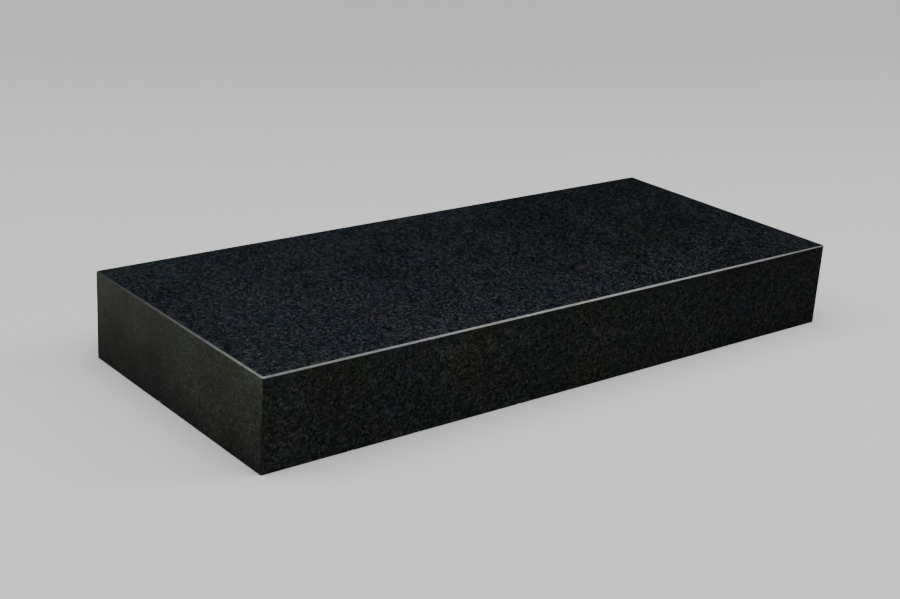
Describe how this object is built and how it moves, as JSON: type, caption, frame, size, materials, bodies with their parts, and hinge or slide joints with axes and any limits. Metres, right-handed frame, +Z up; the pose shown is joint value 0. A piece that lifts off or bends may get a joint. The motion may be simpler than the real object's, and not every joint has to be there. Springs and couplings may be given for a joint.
{
  "type": "flat grave marker",
  "caption": "Plain rectangular slab of black granite with a narrow ground arris round its polished top, lying flat on its sawn underside.",
  "frame": {"origin": "centre of the underside, on the surface that the slab lies on", "axes": "+X along the length, +Y from the shown long side to the hidden one, +Z up"},
  "size_m": [0.6096, 0.254, 0.0762],
  "materials": {
    "black_granite": "satin"
  },
  "bodies": {
    "root": {"granite_slab": "black_granite"}
  },
  "joints": []
}
